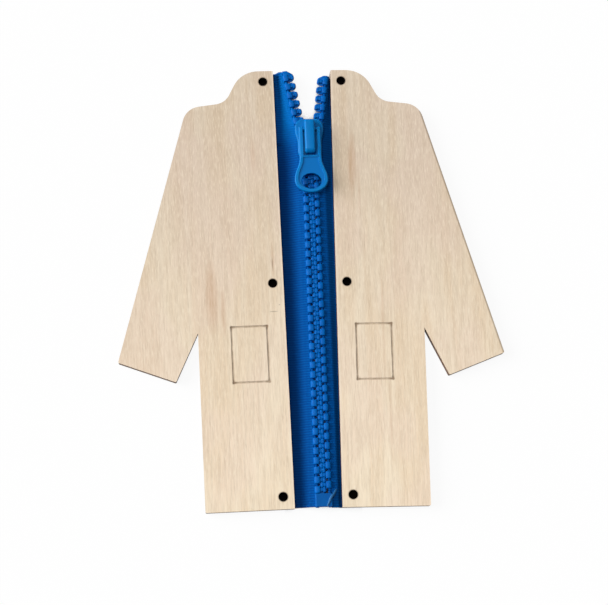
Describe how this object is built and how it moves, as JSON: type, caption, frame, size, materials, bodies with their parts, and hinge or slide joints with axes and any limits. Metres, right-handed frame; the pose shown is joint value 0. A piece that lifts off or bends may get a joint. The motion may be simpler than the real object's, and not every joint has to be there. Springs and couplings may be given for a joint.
{
  "type": "zip dressing board",
  "caption": "Coat-shaped plywood dressing board in two halves, joined down the front by a moulded-tooth zip with a slider and pull.",
  "frame": {"origin": "centre of the board's outline, on the plane it lies on", "axes": "+X to the right half, +Y from the hem to the collar, +Z out of the front, lying on its back"},
  "size_m": [0.1298, 0.1524, 0.0074],
  "materials": {
    "birch_plywood": "matt",
    "zip_tape": "woven",
    "tape_cord": "woven",
    "moulded_teeth": "satin",
    "slider_lacquer": "satin",
    "spring_steel": "satin"
  },
  "bodies": {
    "root": {"left_panel": "birch_plywood", "right_panel": "birch_plywood", "left_tape": "zip_tape", "right_tape": "zip_tape", "left_cord": "tape_cord", "right_cord": "tape_cord", "bottom_stop": "moulded_teeth"},
    "slider": {"slider_body": "slider_lacquer", "slider_crown": "slider_lacquer", "lock_spring": "spring_steel"},
    "pull": {"pull_tab": "slider_lacquer"},
    "left_row": {"left_teeth": "moulded_teeth"},
    "right_row": {"right_teeth": "moulded_teeth"},
    "left_row_end": {"left_top_teeth": "moulded_teeth"},
    "right_row_end": {"right_top_teeth": "moulded_teeth"}
  },
  "joints": [
    {"name": "zip_slide", "type": "slide", "parent": "root", "child": "slider", "axis": [0, 1, 0], "range_m": [-0.1154, 0], "deforming": ["left_tape", "right_tape", "left_cord", "right_cord", "left_teeth", "right_teeth", "left_top_teeth", "right_top_teeth"]},
    {"name": "pull_hinge", "type": "hinge", "parent": "slider", "child": "pull", "pos_m": [0.0018, 0.05402, 0.00565], "axis": [-1, 0, 0], "range_deg": [0, 180]},
    {"name": "left_row_swing", "type": "hinge", "parent": "root", "child": "left_row", "pos_m": [-0.0003, -0.07108, 0.0024], "axis": [0, 0, 1], "range_deg": [0, 2.1]},
    {"name": "right_row_swing", "type": "hinge", "parent": "root", "child": "right_row", "pos_m": [0.0039, -0.07108, 0.0024], "axis": [0, 0, 1], "range_deg": [-1.85, 0]},
    {"name": "left_end_swing", "type": "hinge", "parent": "root", "child": "left_row_end", "pos_m": [-0.0003, 0.07322, 0.0024], "axis": [0, 0, 1], "range_deg": [-11, 0]},
    {"name": "right_end_swing", "type": "hinge", "parent": "root", "child": "right_row_end", "pos_m": [0.0039, 0.07252, 0.0024], "axis": [0, 0, 1], "range_deg": [0, 10]}
  ],
  "couplings": [
    {"joint": "left_row_swing", "follows": "zip_slide", "rad_per_m": -0.317},
    {"joint": "right_row_swing", "follows": "zip_slide", "rad_per_m": 0.279},
    {"joint": "left_end_swing", "follows": "zip_slide", "rad_per_m": 1.663},
    {"joint": "right_end_swing", "follows": "zip_slide", "rad_per_m": -1.512}
  ]
}
